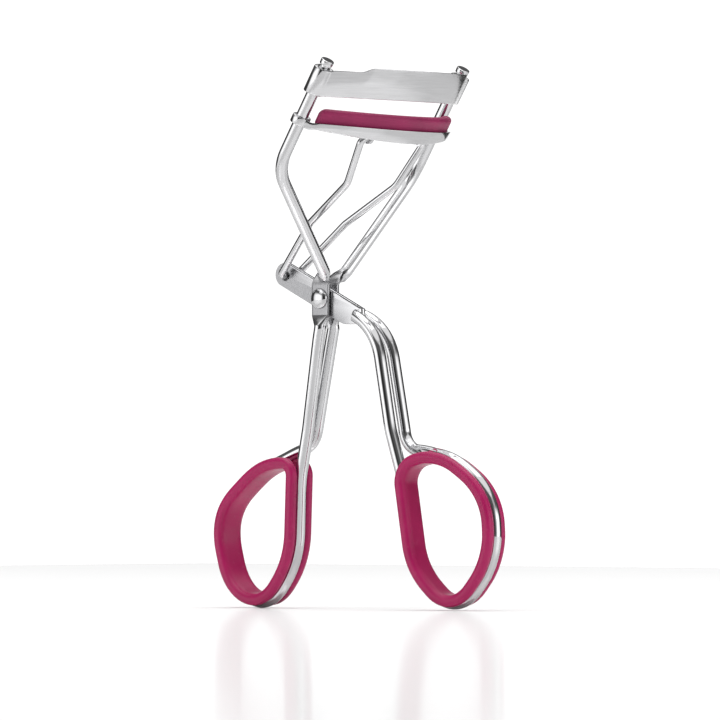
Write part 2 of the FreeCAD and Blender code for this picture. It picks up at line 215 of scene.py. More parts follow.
def round_ring(centre, along, half_x, half_y, square, count=32):
    """A section across a wire: round at square 0, a flat bar with rounded edges at square 1."""
    across = (X - along * X.dot(along)).normalized()
    other = along.cross(across)
    power = 1.0 - 0.72 * square
    ring = []
    for k in range(count):
        angle = 2.0 * pi * k / count
        c, s = cos(angle), sin(angle)
        x = copysign(abs(c) ** power, c)
        y = copysign(abs(s) ** power, s)
        ring.append(centre + across * (half_x * x) + other * (half_y * y))
    return ring


def tube(line, section):
    """Wire along a line; section(point, along) gives the ring at a point."""
    rings = []
    for k, point in enumerate(line):
        along = (line[min(k + 1, len(line) - 1)] - line[max(k - 1, 0)]).normalized()
        rings.append(section(point, along))
    return skin(rings)


def lathe(centre, axis, profile, count=48):
    """Turned shape. profile is a list of (distance along the axis, radius)."""
    ref = X if abs(axis.x) < 0.9 else Z
    u = (ref - axis * ref.dot(axis)).normalized()
    w = axis.cross(u)
    rings = []
    for along, radius in profile:
        radius = max(radius, 0.002)
        rings.append([centre + axis * along + (u * cos(2.0 * pi * k / count)
                      + w * sin(2.0 * pi * k / count)) * radius for k in range(count)])
    return skin(rings)


def plate(outline, holes, low, high, bevel=0.07):
    """Flat plate across X with holes and slightly broken edges, outlines in the YZ plane."""
    loops = [outline] + holes

    def moved(loop, out, is_hole):
        n = len(loop)
        result = []
        for k in range(n):
            t = (loop[(k + 1) % n] - loop[k - 1]).normalized()
            normal = vec(0.0, t.z, -t.y)
            result.append(loop[k] + normal * (-out if is_hole else out))
        return result

    def area(loop):
        return sum(a.y * b.z - b.y * a.z for a, b in zip(loop, loop[1:] + loop[:1]))

    loops = [loop if area(loop) > 0 else loop[::-1] for loop in loops]
    small = [moved(loop, -bevel, k > 0) for k, loop in enumerate(loops)]
    tris = tessellate_polygon([[(p.y, p.z, 0.0) for p in loop] for loop in small])
    flat = [p for loop in small for p in loop]
    verts = [vec(low, p.y, p.z) for p in flat] + [vec(high, p.y, p.z) for p in flat]
    faces = [tuple(t) for t in tris] + [tuple(len(flat) + i for i in reversed(t)) for t in tris]
    base = 0
    for loop in loops:
        n = len(loop)
        rim = len(verts)
        verts += [vec(low + bevel, p.y, p.z) for p in loop]
        verts += [vec(high - bevel, p.y, p.z) for p in loop]
        chain = [base, rim, rim + n, len(flat) + base]
        for a, b in zip(chain, chain[1:]):
            for k in range(n):
                i = (k + 1) % n
                faces.append((a + k, a + i, b + i, b + k))
        base += n
    return verts, faces


def circle_yz(centre, radius, count=40):
    return [centre + vec(0.0, cos(2.0 * pi * k / count),
                             sin(2.0 * pi * k / count)) * radius for k in range(count)]


class Loop:
    """A finger loop: its plane, the outline of its cushion and the corners of its wire."""

    def __init__(self, corners, radii, at, twist, out, sunk):
        turn = radians(twist)
        self.corners, self.radii, self.at = corners, radii, at
        self.a = vec(sin(turn), out * cos(turn), 0.0)
        self.normal = vec(cos(turn), -out * sin(turn), 0.0)
        self.wire, self.wire_r = inset(corners, radii, sunk)
        flat = [vec(x, 0.0, z) for x, z in corners]
        self.edge = bent_line(flat, radii, 1.1, 0.07, closed=True)
        self.shift = self.fuller()

    def fuller(self):
        """How far each point of the edge moves to make one even curve of bends and straights."""
        n = len(self.edge)
        line = [p.copy() for p in self.edge]
        for _ in range(26):
            line = [(line[k - 1] + line[k] * 2.0 + line[(k + 1) % n]) / 4.0 for k in range(n)]
        for axis in (0, 2):
            was = [p[axis] for p in self.edge]
            now = [p[axis] for p in line]
            scale = (max(was) - min(was)) / (max(now) - min(now))
            for p in line:
                p[axis] = min(was) + (p[axis] - min(now)) * scale
        (ax, az), (bx, bz) = self.corners[0], self.corners[1]
        side = vec(bx - ax, 0.0, bz - az).normalized()
        moves = []
        for p, q in zip(self.edge, line):
            away = abs((p.x - ax) * side.z - (p.z - az) * side.x)
            moves.append((q - p) * eased(0.2, 4.0, away))
        for _ in range(6):
            moves = [(moves[k - 1] + moves[k] * 2.0 + moves[(k + 1) % n]) / 4.0 for k in range(n)]
        return moves

    def relaxed(self, p):
        """A point of the wire, moved with the nearest part of the edge."""
        local = vec((p - self.at).dot(self.a), 0.0, p.z)
        reach = [(local - q).length for q in self.edge]
        near = min(range(len(reach)), key=reach.__getitem__)
        move = self.shift[near] * (1.0 - eased(2.0, 7.0, reach[near]))
        return p + self.a * move.x + Z * move.z

    def point(self, corner, aside=0.0):
        return self.at + self.a * corner[0] + Z * corner[1] + self.normal * aside

    def over_corner(self, q):
        """Corner where the run from q, tangent to the last bend, meets the outer edge."""
        (ax, az), (bx, bz), (cx, cz) = self.wire[4], self.wire[5], self.wire[0]
        radius = self.wire_r[5]
        u = vec(ax - bx, az - bz).normalized()
        w = vec(cx - bx, cz - bz).normalized()
        centre = vec(bx, bz) + (u + w).normalized() * (radius / sin(u.angle(w) / 2.0))
        away = Vector(q) - centre
        angle = atan2(away.y, away.x) - acos(radius / away.length)
        run = (centre + vec(cos(angle), sin(angle)) * radius - Vector(q)).normalized()
        s = ((bx - q[0]) * u.y - (bz - q[1]) * u.x) / (run.x * u.y - run.y * u.x)
        return q[0] + run.x * s, q[1] + run.y * s


# ---- Materials ----


class Socket:
    """An output of a shader node that can be added and multiplied."""

    def __init__(self, nodes, socket):
        self.nodes, self.socket = nodes, socket

    def _math(self, operation, a, b):
        return self.nodes.add("ShaderNodeMath", {"operation": operation}, {0: a, 1: b})[0]

    def __add__(self, other):
        return self._math("ADD", self, other)

    def __mul__(self, other):
        return self._math("MULTIPLY", self, other)


class Outputs:
    """The outputs of a shader node by name or number."""

    def __init__(self, nodes, node):
        self.nodes, self.node = nodes, node

    def __getitem__(self, key):
        return Socket(self.nodes, self.node.outputs[key])


class Material:
    """Shader nodes of a material or a world, built from types, settings and socket values."""

    def __init__(self, name, kind="materials"):
        self.material = getattr(bpy.data, kind).new(name)
        self.material.use_nodes = True
        self.tree = self.material.node_tree
        self.tree.nodes.clear()

    def add(self, kind, settings=None, values=None):
        node = self.tree.nodes.new(kind)
        for key, value in (settings or {}).items():
            if key == "ramp":
                stops = node.color_ramp.elements
                while len(stops) < len(value):
                    stops.new(1.0)
                for (place, level), stop in zip(value, stops):
                    stop.position, stop.color = place, (level, level, level, 1.0)
            else:
                setattr(node, key, value)
        for key, value in (values or {}).items():
            if isinstance(value, Socket):
                self.tree.links.new(value.socket, node.inputs[key])
            else:
                node.inputs[key].default_value = value
        return Outputs(self, node)

    def place(self, stretch=(1.0, 1.0, 1.0)):
        coordinates = self.add("ShaderNodeTexCoord")["Object"]
        return self.add("ShaderNodeMapping", None, {"Vector": coordinates, "Scale": stretch})[0]

    def noise(self, where, scale, detail=3.0):
        return self.add("ShaderNodeTexNoise", None,
                        {"Vector": where, "Scale": scale, "Detail": detail})["Fac"]

    def span(self, value, low, high, to_low, to_high):
        return self.add("ShaderNodeMapRange", None, {"Value": value, "From Min": low,
                        "From Max": high, "To Min": to_low, "To Max": to_high})[0]

    def blend(self, factor, a, b):
        mix = self.tree.nodes.new("ShaderNodeMix")
        mix.data_type = "RGBA"
        sockets = [s for s in mix.inputs if s.enabled]
        for socket, value in zip(sockets, (factor, a, b)):
            if isinstance(value, Socket):
                self.tree.links.new(value.socket, socket)
            else:
                socket.default_value = value if isinstance(value, float) else (*value, 1.0)
        return Socket(self, next(s for s in mix.outputs if s.enabled))

    def bump(self, height, strength, distance):
        return self.add("ShaderNodeBump", None, {"Height": height, "Strength": strength,
                                                 "Distance": distance})[0]

    def surface(self, values):
        shader = self.add("ShaderNodeBsdfPrincipled", None, values)["BSDF"]
        self.add("ShaderNodeOutputMaterial", None, {"Surface": shader})
        return self.material


def chrome_wire(colour, stamped_colour):
    """Bright chrome; the stamped flats are duller, with the grain of the tool."""
    m = Material("chrome_wire")
    where = m.place()
    flat = m.add("ShaderNodeAttribute", {"attribute_name": "stamped"})["Fac"]
    cloud = m.noise(where, 260.0, 4.0)
    grain = m.noise(m.place((1.0, 1.0, 0.25)), 6500.0, 2.0)
    drawn = m.noise(m.place((1.0, 1.0, 0.05)), 2600.0, 2.0)
    rough = m.span(cloud, 0.3, 0.7, 0.03, 0.07) + flat * m.span(grain, 0.3, 0.7, 0.22, 0.34)
    tone = m.blend(m.span(cloud, 0.3, 0.7, 0.0, 1.0), tuple(c * 0.93 for c in colour), colour)
    tone = m.blend(flat * 0.85, tone, stamped_colour)
    height = drawn * 0.05 + grain * flat
    return m.surface({"Base Color": tone, "Metallic": 1.0, "Roughness": rough,
                      "Normal": m.bump(height, 0.10, 0.00002)})


def brushed_sheet(colour):
    """Chromed sheet with a fine brushed grain along the bow of the jaws."""
    m = Material("brushed_chrome")
    lines = m.noise(m.place((0.04, 0.04, 1.0)), 5200.0, 3.0)
    cloud = m.noise(m.place(), 180.0, 3.0)
    shine = m.add("ShaderNodeAttribute", {"attribute_name": "stamped"})["Fac"]
    rough = m.span(lines, 0.3, 0.7, 0.04, 0.08) + shine * m.span(lines, 0.3, 0.7, 0.08, 0.16)
    tone = m.blend(m.span(lines, 0.35, 0.65, 0.0, 1.0), tuple(c * 0.9 for c in colour), colour)
    tone = m.blend(m.span(cloud, 0.4, 0.7, 0.0, 0.25), tone, tuple(c * 0.86 for c in colour))
    return m.surface({"Base Color": tone, "Metallic": 1.0, "Roughness": rough,
                      "Normal": m.bump(lines * shine, 0.05, 0.00001)})


def rubber(name, colour, dark, rough, bump):
    """Moulded rubber: slight mottling, fine skin, a soft sheen."""
    m = Material(name)
    where = m.place()
    mottle = m.noise(where, 220.0, 4.0)
    skin_grain = m.noise(where, 5200.0, 3.0)
    dust = m.noise(where, 900.0, 5.0)
    tone = m.blend(m.span(mottle, 0.3, 0.7, 0.0, 1.0), dark, colour)
    tone = m.blend(m.span(dust, 0.62, 0.8, 0.0, 0.12), tone, tuple(min(1.0, c + 0.25) for c in colour))
    roughness = m.span(mottle * 0.6 + dust * 0.4, 0.3, 0.7, rough - 0.05, rough + 0.07)
    return m.surface({"Base Color": tone, "Roughness": roughness, "Specular IOR Level": 0.32,
                      "Sheen Weight": 0.03, "Sheen Roughness": 0.4,
                      "Normal": m.bump(skin_grain * 0.7 + dust * 0.5, bump, 0.00004)})


# ---- Settings ----


def millimetres(name, description, default):
    return bpy.props.FloatProperty(name=name, description=description, default=default * METRES,
                                   min=0.0, precision=5, unit="LENGTH")


def colour_of(name, description, default):
    return bpy.props.FloatVectorProperty(name=name, description=description, default=default,
                                         subtype="COLOR", size=3, min=0.0, max=1.0)


class CurlerSizes(bpy.types.PropertyGroup):
    wire_d: millimetres("Wire", "Diameter of the frame and lever wire", 2.4)
    link_d: millimetres("Link wire", "Diameter of the link wire", 1.4)
    flat_t: millimetres("Frame flats", "Thickness of the flats of the frame", 0.85)
    flat_w: millimetres("Flat width", "Width of the flats of the frame", 4.25)
    lever_t: millimetres("Lever flats", "Thickness of the flats of the lever", 0.78)
    lever_w: millimetres("Lever flat width", "Width of the flats of the lever", 4.5)
    rivet_head_d: millimetres("Rivet head", "Diameter of the rivet heads", 3.95)
    cushion_w: millimetres("Cushion width", "Width of the loop cushions", 6.1)
    cushion_t: millimetres("Cushion thickness", "Thickness of the loop cushions", 2.35)
    wire_sunk: millimetres("Wire sunk", "Wire axis below the rims of the cushions", 0.75)
    pad_w: millimetres("Pad width", "Width of the lash pad", 2.6)
    pad_reach: millimetres("Pad reach", "Half width of the lash pad", 18.0)


class CurlerColours(bpy.types.PropertyGroup):
    chrome: colour_of("Chrome", "Colour of the chrome", (0.66, 0.66, 0.67))
    stamped: colour_of("Stamped flats", "Colour of the stamped flats", (0.30, 0.30, 0.31))
    cushion: colour_of("Cushion", "Colour of the loop cushions", (0.45, 0.012, 0.115))
    cushion_dark: colour_of("Cushion shade", "Darker parts of the mottling", (0.39, 0.010, 0.098))
    pad: colour_of("Pad", "Colour of the lash pad", (0.34, 0.022, 0.105))
    pad_dark: colour_of("Pad shade", "Darker parts of the pad", (0.28, 0.018, 0.088))


def sizes_of(context):
    """The sizes of the panel in millimetres."""
    group = context.scene.curler_sizes
    return SimpleNamespace(**{key: getattr(group, key) / METRES for key in group.__annotations__})


# ---- Frame and lever wires ----


def mirrored(v):
    return vec(-v.x, v.y, v.z)


def loops(sizes):
    front = Loop([(-2.1, -30.5), (-1.3, -50.6), (7.0, -60.4), (17.7, -56.9), (22.4, -41.0),
                  (7.6, -30.4)],
                 [3.6, 16.0, 8.0, 10.0, 10.0, 16.0], vec(-1.2, 6.5, 0.0), 4.7, 1, sizes.wire_sunk)
    back = Loop([(-0.5, -31.6), (2.7, -52.7), (12.7, -61.8), (22.3, -50.3), (21.4, -36.9),
                 (9.4, -28.3)],
                [5.5, 15.5, 6.5, 14.0, 12.5, 10.5], vec(-2.0, -21.0, 0.0), 9.0, -1, sizes.wire_sunk)
    return front, back


def loop_run(loop, stem, inner, q, q_at, aside, radii):
    """Corners and radii of the wire from one stem round the loop to the other stem."""
    points = stem + [loop.point(inner)] + [loop.point(c) for c in loop.wire[1:5]]
    points += [loop.point(loop.over_corner(q), aside), q_at]
    points += [mirrored(p) for p in reversed(stem)]
    return points, radii[0] + loop.wire_r[1:] + radii[1]


FLAT_X = 1.285                      # middle of each flat
FRAME_IN = 0.86                     # inner face of each flat
WAIST = vec(-3.0, -2.45, 5.0)
FRAME_STEM = [vec(-FLAT_X, 0.0, -3.1), vec(-1.9, -0.35, -5.6), vec(-1.85, 0.15, -7.9),
              vec(-1.3, 3.35, -25.2)]


def frame_line(loop):
    q = (-2.5, -28.0)
    points, radii = loop_run(loop, FRAME_STEM, (loop.wire[0][0] + 0.12, -34.5), q,
                             vec(1.3, 6.5 + q[0], q[1]), 0.35,
                             ([1.5, 6, 20, 20], [5.0, 10, 6, 1.5]))
    foot = POST_FOOT - X * POST_X
    top = [foot + POST * POST_LENGTH, foot, WAIST, vec(-FLAT_X, 0.0, 2.9)]
    points = top + points + [mirrored(p) for p in reversed(top)]
    bends = [POST_BEND, 1.6, 0.8, 0.8]
    radii = bends + radii + bends[::-1]
    return [loop.relaxed(p) if p.z < -22.0 else p for p in bent_line(points, radii, 1.2, 0.09)]


def frame_section(sizes):
    r = sizes.wire_d / 2.0

    def section(point, along):
        if abs(point.x) > 3.6 or not -6.2 < point.z < 5.6:
            return round_ring(point, along, r, r, 0.0)
        flat = 1.0 - eased(3.0, 4.9, point.z)
        flat = min(flat, eased(-5.3, -3.2, point.z))
        level = Z if along.z > 0 else -Z
        tilt = mixed(along, level, flat).normalized()
        return round_ring(point, tilt, mixed(r, sizes.flat_t / 2.0, flat),
                          mixed(r, sizes.flat_w / 2.0, flat), flat)

    return section


class CURLER_OT_frame_wire(bpy.types.Operator):
    """Build the frame wire with its posts, flats and loop"""
    bl_idname = "curler.frame_wire"
    bl_label = "Frame wire"

    def execute(self, context):
        sizes = sizes_of(context)
        shell = tube(frame_line(loops(sizes)[0]), frame_section(sizes))
        turned = [(-0.4, 0.0), (-0.4, NECK), (0.58, NECK), (0.6, HEAD - 0.1), (0.63, HEAD - 0.03),
                  (0.7, HEAD), (1.5, HEAD), (1.59, HEAD - 0.04), (1.64, HEAD - 0.14),
                  (1.65, HEAD - 0.25), (1.63, 0.5), (1.63, 0.0)]
        heads = [lathe(POST_FOOT + X * (side * POST_X) + POST * POST_LENGTH, POST, turned)
                 for side in (-1.0, 1.0)]

        def stamped(p):
            return (1.0 - eased(3.2, 4.6, p.z)) * eased(-5.0, -3.6, p.z) if abs(p.x) < 2.4 else 0.0

        new_piece("frame_wire_bent", merged(shell, *heads), "frame", ["frame_wire"],
                  MATERIALS["chrome"], stamped)
        return {"FINISHED"}


LEVER_RISE = radians(25.5)
LEVER_D = vec(0.0, cos(LEVER_RISE), sin(LEVER_RISE))
LEVER_N = vec(0.0, -sin(LEVER_RISE), cos(LEVER_RISE))
TIP_HOLE = LEVER_D * 10.75
LEVER_TAIL = 8.7                    # where the round wire begins
LEVER_GAP = 0.03                    # flats to the middle
LEVER_LOW = -5.0                    # lower edge of the flats at their tail
LEVER_STEM = [vec(-1.45, -8.3, -3.15), vec(-1.9, -14.75, -6.3), vec(-2.0, -18.5, -25.3)]


def lever_line(loop):
    q = (-2.1, -29.0)
    points, radii = loop_run(loop, LEVER_STEM, (loop.wire[0][0] + 0.95, -37.0), q,
                             vec(2.0, -21.0 - q[0], q[1]), 0.5, ([11, 20, 20], [4.5, 2, 11]))
    return [loop.relaxed(p) if p.z < -22.0 else p for p in bent_line(points, radii, 1.2, 0.09)]


class CURLER_OT_lever_wire(bpy.types.Operator):
    """Build the lever wire with its two flats and loop"""
    bl_idname = "curler.lever_wire"
    bl_label = "Lever wire"

    def execute(self, context):
        sizes = sizes_of(context)
        r = sizes.wire_d / 2.0
        line = lever_line(loops(sizes)[1])

        def section(point, along):
            near = eased(LEVER_TAIL - 0.5, LEVER_TAIL + 0.5, -point.y)
            near = near if point.z > -6.0 else 1.0
            size = mixed(0.55, 1.0, near)
            return round_ring(point - X * copysign(0.35 * (1.0 - near), point.x), along,
                              r * size, r * mixed(0.9, 1.0, near), 0.0)

        shells = [tube(line, section)]
        w = sizes.lever_w / 2.0
        top = LEVER_D * (-LEVER_TAIL / cos(LEVER_RISE) + 0.1) + LEVER_N * w
        low = vec(0.0, top.y - 0.2, LEVER_LOW)
        nose = TIP_HOLE + LEVER_D * 0.45
        edge = [top]
        for k in range(25):
            angle = pi * (0.5 - k / 24.0)
            edge.append(nose + LEVER_D * (w * cos(angle)) + LEVER_N * (w * sin(angle)))
        edge += bent_line([edge[-1], vec(0.0, -5.3, LEVER_LOW), low], [4.0], 20.0)[1:]
        holes = [circle_yz(TIP_HOLE, 1.0), circle_yz(Vector(), 1.05)]
        for side in (-1.0, 1.0):
            a, b = side * LEVER_GAP, side * (LEVER_GAP + sizes.lever_t)
            shells.append(plate(edge, holes, min(a, b), max(a, b)))

        def stamped(p):
            return 1.0 if abs(p.x) < 0.9 and p.y > -LEVER_TAIL - 0.2 and p.z > -6.0 else 0.0

        new_piece("lever_wire_bent", merged(*shells), "lever", ["lever_wire"],
                  MATERIALS["chrome"], stamped)
        return {"FINISHED"}


# ---- Nodes: wire along a path, rivet heads at points ----


def node_group(name, sizes):
    """Geometry tree with a mesh going in and out and named sizes."""
    group = bpy.data.node_groups.new(name, "GeometryNodeTree")
    group.interface.new_socket("Geometry", in_out="OUTPUT", socket_type="NodeSocketGeometry")
    group.interface.new_socket("Geometry", in_out="INPUT", socket_type="NodeSocketGeometry")
    for label, kind, default in sizes:
        socket = group.interface.new_socket(label, in_out="INPUT", socket_type=kind)
        if default is not None:
            socket.default_value = default
    enter = group.nodes.new("NodeGroupInput")
    leave = group.nodes.new("NodeGroupOutput")
    return group, enter, leave


def finish_tree(group, last, leave, material_from):
    new, link = group.nodes.new, group.links.new
    realize = new("GeometryNodeRealizeInstances")
    paint = new("GeometryNodeSetMaterial")
    link(last, realize.inputs[0])
    link(realize.outputs[0], paint.inputs["Geometry"])
    link(material_from, paint.inputs["Material"])
    link(paint.outputs[0], leave.inputs[0])


def wire_tree():
    group, enter, leave = node_group("wire_along_path", (
        ("Radius", "NodeSocketFloat", 0.0007), ("Sides", "NodeSocketInt", 28),
        ("Material", "NodeSocketMaterial", None)))
    new, link = group.nodes.new, group.links.new
    to_curve = new("GeometryNodeMeshToCurve")
    circle = new("GeometryNodeCurvePrimitiveCircle")
    sweep = new("GeometryNodeCurveToMesh")
    sweep.inputs["Fill Caps"].default_value = True
    link(enter.outputs["Geometry"], to_curve.inputs[0])
    link(enter.outputs["Radius"], circle.inputs["Radius"])
    link(enter.outputs["Sides"], circle.inputs["Resolution"])
    link(to_curve.outputs[0], sweep.inputs["Curve"])
    link(circle.outputs[0], sweep.inputs["Profile Curve"])
    finish_tree(group, sweep.outputs[0], leave, enter.outputs["Material"])
    return group


def rivet_tree(head):
    group, enter, leave = node_group("head_at_points", (
        ("Scale", "NodeSocketFloat", 1.0), ("Material", "NodeSocketMaterial", None)))
    new, link = group.nodes.new, group.links.new
    info = new("GeometryNodeObjectInfo")
    info.inputs["Object"].default_value = head
    side = new("GeometryNodeInputNamedAttribute")
    side.data_type = "FLOAT_VECTOR"
    side.inputs["Name"].default_value = "turn"
    put = new("GeometryNodeInstanceOnPoints")
    points = new("GeometryNodeMeshToPoints")
    link(enter.outputs["Geometry"], points.inputs[0])
    link(points.outputs[0], put.inputs["Points"])
    link(info.outputs["Geometry"], put.inputs["Instance"])
    rotate = new("FunctionNodeEulerToRotation")
    link(side.outputs["Attribute"], rotate.inputs[0])
    link(rotate.outputs[0], put.inputs["Rotation"])
    link(enter.outputs["Scale"], put.inputs["Scale"])
    finish_tree(group, put.outputs[0], leave, enter.outputs["Material"])
    return group


def run_tree(name, mesh, group, inputs):
    """Runs a geometry tree on a mesh and returns the result as a plain mesh."""
    carrier = in_scene(name + "_carrier", mesh)
    modifier = carrier.modifiers.new("tree", "NODES")
    modifier.node_group = group
    names = {s.name: s.identifier for s in group.interface.items_tree if s.in_out == "INPUT"}
    for label, value in inputs.items():
        modifier[names[label]] = value
    graph = bpy.context.evaluated_depsgraph_get()
    result = bpy.data.meshes.new_from_object(carrier.evaluated_get(graph), depsgraph=graph)
    bpy.data.objects.remove(carrier)
    return result


def shell_of(mesh):
    verts = [v.co / METRES - PIVOT for v in mesh.vertices]
    shell = (verts, [tuple(p.vertices) for p in mesh.polygons])
    bpy.data.meshes.remove(mesh)
    return shell


class CURLER_OT_link_wire(bpy.types.Operator):
    """Build the link wire between the lower jaw and the lever tip"""
    bl_idname = "curler.link_wire"
    bl_label = "Link wire"

    def execute(self, context):
        sizes = sizes_of(context)
        half = [vec(6.5, LUG_HOLE.y, LUG_HOLE.z), vec(9.05, LUG_HOLE.y, LUG_HOLE.z),
                vec(7.0, -11.9, 21.6), vec(5.0, -0.6, 14.5),
                vec(2.2, TIP_HOLE.y, TIP_HOLE.z)]
        points = half + [mirrored(p) for p in reversed(half)]
        radii = [1.2, 4.0, 3.0, 1.2]
        line = bent_line(points, radii + radii[::-1], 1.5, 0.12)
        mesh = bpy.data.meshes.new("link_path")
        mesh.from_pydata([(p + PIVOT) * METRES for p in line],
                         [(k, k + 1) for k in range(len(line) - 1)], [])
        result = run_tree("link_wire", mesh, wire_tree(), {
            "Radius": sizes.link_d / 2.0 * METRES, "Sides": 28, "Material": MATERIALS["chrome"]})
        new_piece("link_wire_bent", shell_of(result), "link", ["link_wire"],
                  MATERIALS["chrome"])
        return {"FINISHED"}


RIVET_TALL, SHANK = 0.95, 0.98


class CURLER_OT_rivet(bpy.types.Operator):
    """Build the pivot rivet with two domed heads"""
    bl_idname = "curler.rivet"
    bl_label = "Pivot rivet"

    def execute(self, context):
        sizes = sizes_of(context)
        r = sizes.rivet_head_d / 2.0
        profile = [(-0.1, 0.0), (-0.1, r - 0.12), (0.0, r - 0.03), (0.12, r)]
        profile += [(0.12 + (RIVET_TALL - 0.12) * sin(pi / 2.0 * k / 12.0),
                     r * cos(pi / 2.0 * k / 12.0)) for k in range(1, 13)]
        verts, faces = lathe(Vector(), X, profile)
        mesh = bpy.data.meshes.new("rivet_head")
        mesh.from_pydata([p * METRES for p in verts], [], faces)
        head = in_scene("rivet_head", mesh)
        spots = bpy.data.meshes.new("rivet_ends")
        reach = FRAME_IN + sizes.flat_t
        spots.from_pydata([(PIVOT + X * reach) * METRES, (PIVOT - X * reach) * METRES], [], [])
        turn = spots.attributes.new("turn", "FLOAT_VECTOR", "POINT")
        turn.data.foreach_set("vector", [0.0, 0.0, 0.0, 0.0, 0.0, pi])
        result = run_tree("rivet", spots, rivet_tree(head),
                          {"Scale": 1.0, "Material": MATERIALS["rivet"]})
        bpy.data.objects.remove(head)
        shank = lathe(X * -reach, X, [(0.0, 0.0), (0.0, SHANK), (2.0 * reach, SHANK),
                                      (2.0 * reach, 0.0)])
        new_piece("pivot_rivet_domed", merged(shell_of(result), shank), "frame",
                  ["pivot_rivet"], MATERIALS["rivet"])
        return {"FINISHED"}


# ---- Jaws ----


class Bow:
    """Places points of a jaw: across X, ahead in the dipped plane, up along the posts."""

    def __init__(self, radius, dip):
        self.radius, self.ahead = radius, forward(dip)
        self.along = self.ahead.dot(POST)
        self.front = sqrt(1.0 - self.along ** 2)
        self.square = (self.ahead - POST * self.along).normalized()

    def arc(self, angle, radius=None):
        radius = radius or self.radius
        middle = BOW - self.radius
        return radius * sin(angle), (middle + radius * cos(angle)) * self.front

    def at(self, x, q, level):
        return X * x + POST_FOOT + self.square * q + POST * (level + q / self.front * self.along)

    def level(self, along_post, q):
        """Level in the dipped plane of a height measured square to the posts."""
        return along_post - q / self.front * self.along

    def strip(self, line, thick, low, high, edge=0.16):
        """Sheet on edge along a line of (x, q); low and high give its edges at each point."""
        rings = []
        n = len(line)
        for k, (x, q) in enumerate(line):
            ax, aq = line[max(k - 1, 0)]
            bx, bq = line[min(k + 1, n - 1)]
            length = hypot(bx - ax, bq - aq)
            nx, nq = -(bq - aq) / length, (bx - ax) / length
            bottom, top = low(k, x, q), high(k, x, q)
            t = thick / 2.0
            outline = []
            for u, v in ((-1, 0), (1, 0), (1, 1), (-1, 1)):
                level = top if v else bottom
                for turn in (0.0, 0.5, 1.0):
                    if (u, v) in ((1, 0), (-1, 1)):
                        turn = 1.0 - turn
                    c = 1.0 - cos(turn * pi / 2.0)
                    s = 1.0 - sin(turn * pi / 2.0)
                    outline.append((u * (t - edge * c), level + (edge * s) * (-1 if v else 1)))
            rings.append([self.at(x + nx * o, q + nq * o, lev) for o, lev in outline])
        return skin(rings)


def smoothed(line, start, end, rounds):
    """Eases the corners of part of a line."""
    for _ in range(rounds):
        done = list(line)
        for k in range(max(start, 1), min(end, len(line) - 1)):
            done[k] = tuple((line[k - 1][i] + 2.0 * line[k][i] + line[k + 1][i]) / 4.0 for i in (0, 1))
        line = done
    return line


def curl(radius, side, sweep, count=34):
    """Points round a post, from its front to where the sheet comes back to itself."""
    return [(side * (POST_X + radius * sin(sweep * k / count)),
             radius * cos(sweep * k / count)) for k in range(count + 1)]


def between(a, b, count=4):
    return [tuple(mixed(a[i], b[i], k / (count + 1.0)) for i in (0, 1)) for k in range(1, count + 1)]


class CURLER_OT_upper_jaw(bpy.types.Operator):
    """Build the bowed upper jaw with its two curled sleeves"""
    bl_idname = "curler.upper_jaw"
    bl_label = "Upper jaw"

    def execute(self, context):
        bow = Bow(UPPER_RADIUS, UPPER_DIP)
        r = (sizes_of(context).wire_d + SHEET) / 2.0 + 0.01
        reach = sqrt(bow.radius ** 2 - (r / bow.front - BOW + bow.radius) ** 2)
        last = asin(reach / bow.radius)
        arc = [bow.arc(last * (k / 60.0 - 1.0)) for k in range(121)]
        tabs = [[(side * mixed(reach, POST_X, k / 4.0), r) for k in range(1, 4)] for side in (-1, 1)]
        left = curl(r, -1, radians(352))[::-1]
        right = curl(r, 1, radians(352))
        line = left + tabs[0][::-1] + arc + tabs[1] + right
        first = len(left) - 2
        line = smoothed(line, first, first + 6, 5)
        line = smoothed(line, len(line) - first - 6, len(line) - first, 5)
        ends = len(left)
        count = len(line)

        def on_sleeve(k, x):
            return 1.0 if k < ends - 1 or k > count - ends else eased(18.9, 19.6, abs(x))

        def low(k, x, q):
            return mixed(PLATE_LOW, bow.level(SLEEVE_LOW, q), on_sleeve(k, x))

        def high(k, x, q):
            top = PLATE_LOW + PLATE_HEIGHT - PLATE_STEP * eased(12.9, 14.9, abs(x))
            return mixed(top, bow.level(SLEEVE_TOP, q), on_sleeve(k, x))

        shell = bow.strip(line, SHEET - 0.02, low, high)
        new_piece("upper_jaw_sheet", shell, "frame", ["upper_jaw"], MATERIALS["sheet"],
                  lambda p: eased(-15.5, -6.0, p.x) * (1.0 - eased(17.0, 19.0, p.x)))
        return {"FINISHED"}


APRON = 0.62                        # thickness of the front wall and eyelets
CHANNEL = 1.35                      # depth of the channel with its floor


